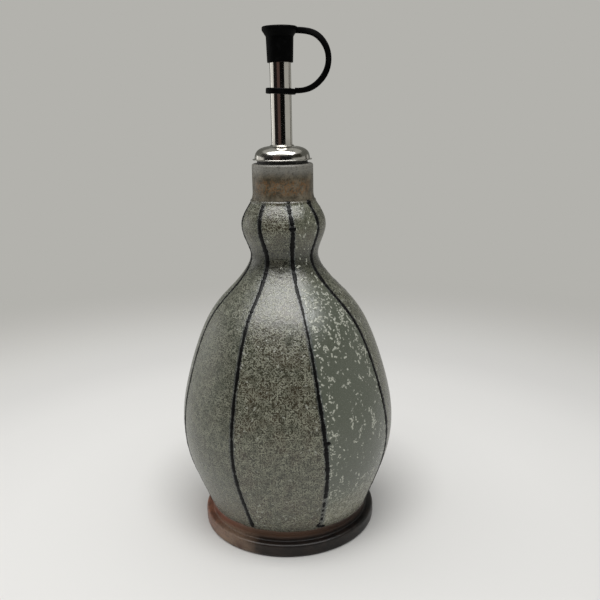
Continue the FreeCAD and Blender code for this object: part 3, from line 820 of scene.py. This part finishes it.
def store(mesh, label, values):
    mesh.attributes.new(label, "FLOAT", "POINT").data.foreach_set("value", np.asarray(values, np.float32))


points = np.array([v.co for v in glaze_coat.data.vertices])
high = np.clip(points[:, 2] / MM, 12, 152.9)
round_front = np.degrees(np.arctan2(points[:, 0], -points[:, 1]))
tracks = np.array([smooth_table(table, high) for table in LINES.values()])
turns = (round_front - tracks[0]) % 360
panel = sum((turns >= (track - tracks[0]) % 360).astype(int) for track in tracks[1:])
gaps = np.abs((round_front - tracks + 180) % 360 - 180).min(0)
characters = np.array(PANELS)[panel]
store(glaze_coat.data, "mottle", characters[:, 0])
store(glaze_coat.data, "flakes", characters[:, 1])
store(glaze_coat.data, "line_gap", np.radians(gaps) * np.hypot(points[:, 0], points[:, 1]))
print("points in each panel:", np.bincount(panel).tolist())

# %% [markdown]
# ## The steel pourer
# The collar is pressed from sheet, and the spout is a tube that is cut on a slant. Polished metal shows
# every facet, so both are turned again with many more steps than the CAD mesh has.

# %% Collar and tubes
collar = turn_on_wheel("pourer_collar", outline_of("collar", 0.12 * MM), steel, Steps_Round=160)


def tube_outline(node, inner):
    """A straight tube's outline from its CAD box and its inner radius, with softened ends."""
    low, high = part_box(node)
    outside = (high.y - low.y) / 2
    soft = 0.12 * MM
    inside = outside - inner
    return np.array([
        (inside + soft, low.z), (outside - soft, low.z), (outside, low.z + soft), (outside, high.z - soft),
        (outside - soft, high.z), (inside + soft, high.z), (inside, high.z - soft),
        (inside, low.z + soft), (inside + soft, low.z),
    ])


def mouth_plane(node):
    """The slanted cut of the spout: a point on it and its normal, from the CAD mesh's own corners."""
    corners = np.array([v.co for v in nodes[node].data.vertices])
    tip = corners[corners[:, 2] > corners[:, 2].max() - 0.01 * MM]
    right = corners[corners[:, 0] > corners[:, 0].max() - 0.05 * MM]
    low, high = right[right[:, 2].argmax()], tip[tip[:, 0].argmax()]
    run, rise = high[0] - low[0], high[2] - low[2]
    return Vector((low[0], 0, low[2])), Vector((rise, 0, -run)).normalized()


def cut_slanted(piece, point, normal):
    """Cuts a tube off above a plane and closes the rim between its two walls."""
    bm = bmesh.new()
    bm.from_mesh(piece.data)
    geometry = [*bm.verts, *bm.edges, *bm.faces]
    cut = bmesh.ops.bisect_plane(bm, geom=geometry, plane_co=point, plane_no=normal, clear_outer=True)
    rims = [e for e in cut["geom_cut"] if isinstance(e, bmesh.types.BMEdge)]
    rims = [e for e in rims if e.is_valid and e.is_boundary]
    bmesh.ops.bridge_loops(bm, edges=rims)
    bmesh.ops.recalc_face_normals(bm, faces=bm.faces)
    bm.to_mesh(piece.data)
    bm.free()
    piece.data.set_sharp_from_angle(angle=math.radians(20))


spout = turn_on_wheel("spout", tube_outline("spout_tube", 0.5 * MM), steel, Steps_Round=160)
cut_slanted(spout, *mouth_plane("spout_tube"))
print("spout cut on the slant:", len(spout.data.polygons), "faces")
nodes["vent_tube"].data.materials.clear()
nodes["vent_tube"].data.materials.append(steel)
nodes["stopper"].data.materials.clear()
nodes["stopper"].data.materials.append(stopper_rubber)

# %% [markdown]
# ## The rubber cap, its ring and its strap
# The three are one moulding. The strap is a flat band that twists as it bends over, so it looks thick in
# some places and thin in others. It is swept along a smooth curve with a rounded flat profile.

# %% Cap and ring
cap = turn_on_wheel("rubber_cap", outline_of("dust_cap", 0.2 * MM), cap_rubber, Steps_Round=128)
nodes["tether_ring"].data.materials.clear()
nodes["tether_ring"].data.materials.append(cap_rubber)

# %% The strap tree
strap_tree, t = new_tree(
    "flat_strap",
    {
        "Width": ("Float", 2.7 * MM),
        "Thickness": ("Float", 1.3 * MM),
        "Steps": ("Int", 140),
        "Material": ("Material", None),
    },
)
along_path = {"Curve": t["Geometry"], "Count": t["Steps"]}
path = strap_tree.node("GeometryNodeResampleCurve", {"mode": "COUNT"}, along_path)
section = {"Width": t["Thickness"], "Height": t["Width"]}
flat = strap_tree.node("GeometryNodeCurvePrimitiveQuadrilateral", {"mode": "RECTANGLE"}, section)
rounding = {"Curve": flat, "Count": 4, "Radius": t["Thickness"] * 0.38}
soft = strap_tree.node("GeometryNodeFilletCurve", {"mode": "POLY"}, rounding)
as_wide = strap_tree.node("GeometryNodeInputRadius")
sweep = {"Curve": path, "Profile Curve": soft, "Scale": as_wide, "Fill Caps": True}
band = strap_tree.node("GeometryNodeCurveToMesh", inputs=sweep)
end_tree(strap_tree, band, t["Material"])

strap_low, strap_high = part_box("cap_tether")
cap_low, cap_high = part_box("dust_cap")
STRAP = [  # across and up from the strap's lowest inner corner in mm, twist in degrees, size factor
    (-0.5, 0.8, 0, 0.9), (1.4, 0.7, 6, 0.8), (5.2, 1.0, 24, 0.9), (9.6, 3.7, 34, 1.0), (13.0, 8.0, 14, 0.95),
    (14.2, 13.1, 0, 0.9), (13.2, 18.4, 10, 0.95), (9.8, 22.8, 20, 1.0), (5.6, 24.6, 12, 0.95),
    (1.2, 24.85, 0, 0.95), (-0.6, 24.85, 0, 0.95),
]
data = bpy.data.curves.new("strap_path", "CURVE")
data.dimensions = "3D"
data.twist_mode = "MINIMUM"
spline = data.splines.new("NURBS")
spline.points.add(len(STRAP) - 1)
for point, (across, rise, twist, factor) in zip(spline.points, STRAP):
    point.co = (strap_low.x + across * MM, 0, strap_low.z + rise * MM, 1)
    point.tilt, point.radius = math.radians(twist), factor
spline.order_u, spline.use_endpoint_u, spline.resolution_u = 4, True, 16
strap = grow("cap_strap", strap_tree, data, Material=cap_rubber)
box = np.array([v.co for v in strap.data.vertices])
print("strap box:", (box.min(0) / MM).round(2), (box.max(0) / MM).round(2))
print("CAD strap box:", strap_low / MM, strap_high / MM)

# %% [markdown]
# ## Every piece rides on its body

# %% Bodies, and the CAD parts each piece stands for
RIDES = [
    (clay_wall, "bottle", "glazed_stoneware", ["bottle"]), (glaze_coat, "bottle", "glazed_stoneware", []),
    (slip_lines, "bottle", "glazed_stoneware", []), (collar, "spout", "polished_steel", ["collar"]),
    (spout, "spout", "polished_steel", ["spout_tube"]), (cap, "dust_cap", "cap_rubber", ["dust_cap"]),
]
for piece, body, slot, stands_for in RIDES:
    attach(piece, body)
    if stands_for:
        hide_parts(*stands_for)
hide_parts("cap_tether")
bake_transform(strap)

# %% [markdown]
# ## The studio
# The object stands on a pale table that fades to a grey backdrop. One soft box hangs overhead, slightly in
# front, and a weaker one stands on the left, a little behind. A glowing sheet below the first, and bright
# and dark cards round the object, are seen only in glossy surfaces: they shape the reflections in the glaze
# and the steel, and they light nothing else.

# %% Backdrop colour and world
WALL = shade(179, 178, 173)
world = bpy.data.worlds.new("studio")
bpy.context.scene.world = world
world.use_nodes = True
world.node_tree.nodes.clear()
n = Graph(world.node_tree)
n.node("ShaderNodeLightPath")
looked, mirrored, through = (n.also(f"Is {kind} Ray") for kind in ("Camera", "Glossy", "Transmission"))
seen = n.math("MAXIMUM", n.math("MAXIMUM", looked, mirrored), through)
sky = n.node("ShaderNodeBackground", inputs={"Color": (*WALL, 1), "Strength": 1.0})
fill = n.node("ShaderNodeBackground", inputs={"Color": (1, 1, 1, 1), "Strength": 0.62})
n.node("ShaderNodeMixShader", inputs={0: seen, 1: fill, 2: sky})
end = n.tree.nodes.new("ShaderNodeOutputWorld")
n.tree.links.new(n.last.outputs[0], end.inputs["Surface"])

# %% Floor
bm = bmesh.new()
bmesh.ops.create_grid(bm, x_segments=1, y_segments=1, size=6.0)
floor_mesh = bpy.data.meshes.new("floor")
bm.to_mesh(floor_mesh)
bm.free()
floor = place("floor", floor_mesh)
floor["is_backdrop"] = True
table, n, table_shader, at = new_finish("pale_table", Roughness=0.8, Specular_IOR_Level=0.2)
# painted pool of light: the table's colour is palest round the object and greys further out
far = n.vector("LENGTH", at, output="Value")
tones = [  # share of 0.55 m from the middle, and the colour painted there: a pool of light, palest near the object and greyer further out
    (0.0, shade(224, 223, 220)), (0.16, shade(226, 225, 222)), (0.24, shade(226, 225, 222)),
    (0.35, shade(221, 220, 217)), (0.44, shade(212, 211, 208)), (0.57, shade(206, 205, 201)),
    (0.76, shade(198, 196, 192)), (1.0, shade(184, 182, 178)),
]
painted_light_pool = n.node("ShaderNodeValToRGB", {"stops": tones}, {"Fac": far / 0.55})
# painted shadow: the table is darkened round a point just behind the object, where its contact shadow falls
under = n.vector("LENGTH", n.vector("SUBTRACT", at, n.join(0.0, 0.035, 0.0)), output="Value")
feed(n, table_shader, Base_Color=n.mix(n.ease(under, 0.045, 0.085, 0.3, 0), painted_light_pool, shade(150, 149, 145)))
n.node("ShaderNodeLightPath")
looked, mirrored = n.also("Is Camera Ray"), n.also("Is Glossy Ray")
seen = n.math("MAXIMUM", looked, mirrored)
backdrop = n.node("ShaderNodeEmission", inputs={"Color": (*WALL, 1), "Strength": 1.0})
fade = n.ease(far, 0.27, 0.52) * seen
blended = n.node("ShaderNodeMixShader", inputs={0: fade, 1: Value(n, table_shader.outputs[0]), 2: backdrop})
end = next(x for x in n.tree.nodes if x.type == "OUTPUT_MATERIAL")
n.tree.links.new(blended.socket, end.inputs["Surface"])
floor_mesh.materials.append(table)

# %% Lights and cards
def soft_box(name, place_at, aim, width, depth, power):
    lamp = bpy.data.lights.new(name, "AREA")
    lamp.shape, lamp.size, lamp.size_y, lamp.energy = "RECTANGLE", width, depth, power
    made = place(name, lamp)
    made.location = place_at
    made.rotation_euler = (Vector(aim) - Vector(place_at)).to_track_quat("-Z", "Y").to_euler()
    return made


overhead = soft_box("overhead", (-0.02, -0.22, 0.80), (0, 0, 0.1), 0.56, 0.40, 3.2)
soft_box("from_the_left", (-0.75, 0.30, 0.30), (0, 0, 0.08), 0.5, 0.5, 1.1)


def show_in_mirrors(made, colour, strength):
    """Makes a staged piece glow, and hides it from everything but glossy surfaces."""
    material = bpy.data.materials.new(made.name)
    material.use_nodes = True
    material.node_tree.nodes.clear()
    k = Graph(material.node_tree)
    k.node("ShaderNodeEmission", inputs={"Color": (*colour, 1), "Strength": strength})
    k.tree.links.new(k.last.outputs[0], k.tree.nodes.new("ShaderNodeOutputMaterial").inputs["Surface"])
    made.data.materials.append(material)
    made.visible_camera = made.visible_diffuse = made.visible_shadow = made.visible_transmission = False
    made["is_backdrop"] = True


def card(name, from_deg, to_deg, distance, low, high, colour):
    """A curved upright card round the object that only mirrors see."""
    mesh = bpy.data.meshes.new(name)
    steps = np.radians(np.linspace(from_deg, to_deg, 9))
    ring = [(distance * math.sin(a), -distance * math.cos(a)) for a in steps]
    verts = [(x, y, low) for x, y in ring] + [(x, y, high) for x, y in ring]
    mesh.from_pydata(verts, [], [(i, i + 1, i + 10, i + 9) for i in range(8)])
    show_in_mirrors(place(name, mesh), colour, 1.0)


def bright_sheet(name, like, width, depth, strength):
    """A glowing sheet just under a lamp, so that its shape shows in the glaze."""
    mesh = bpy.data.meshes.new(name)
    corners = [(-1, -1), (1, -1), (1, 1), (-1, 1)]
    tilt = like.rotation_euler.to_matrix()
    middle = like.location + tilt @ Vector((0, 0, -0.004))
    verts = [middle + tilt @ Vector((x * width / 2, y * depth / 2, 0)) for x, y in corners]
    mesh.from_pydata(verts, [], [(0, 1, 2, 3)])
    show_in_mirrors(place(name, mesh), (1, 1, 1), strength)


bright_sheet("bright_sheet", overhead, 1.2, 0.40, 6.5)
card("dark_card_right", -10, 42, 0.7, -0.1, 0.7, shade(12, 12, 11))
card("dark_card_left", -80, -36, 0.7, -0.1, 0.7, shade(30, 27, 26))
card("room_in_front", -38, -8, 0.68, -0.1, 0.7, shade(84, 66, 61))
card("bright_card_left", -122, -84, 0.72, -0.1, 0.28, shade(236, 234, 229))
card("dark_above_left", -104, -80, 0.72, 0.29, 0.75, shade(52, 48, 42))
card("dark_above_right", 42, 92, 0.72, 0.27, 0.75, shade(40, 37, 27))
card("grey_above_left", -165, -104, 0.72, 0.29, 0.75, shade(104, 104, 98))
card("grey_above_right", 92, 165, 0.72, 0.29, 0.75, shade(104, 104, 98))
card("thin_dark_card", 112, 124, 0.72, -0.1, 0.7, shade(70, 66, 60))
card("grey_card_left", -178, -140, 0.74, 0.09, 0.7, shade(112, 112, 107))
card("grey_card_right", 140, 178, 0.74, 0.09, 0.7, shade(112, 112, 107))

# %% [markdown]
# ## Camera
# The camera is level with the pourer and looks down by about 15 degrees, rolled by about one.

# %% Camera
camera = place("camera", bpy.data.cameras.new("camera"))
camera.data.lens = 42.34
camera.data.sensor_width = 36
camera.location = (0.00664, -0.3112, 0.1896)
camera_pitch = Matrix.Rotation(math.radians(75.06), 3, "X")
camera_roll = Matrix.Rotation(math.radians(-0.966), 3, "Z")
camera.rotation_euler = (camera_pitch @ camera_roll).to_euler()
bpy.context.scene.camera = camera
bpy.context.scene.view_settings.view_transform = "Standard"

# %% Sizes and the end
low, high = cad_box
visual_low, visual_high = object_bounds()
sizes = {"cad": [list(low), list(high)], "visual": [list(visual_low), list(visual_high)]}
print({k: [[round(c / MM, 2) for c in p] for p in v] for k, v in sizes.items()})
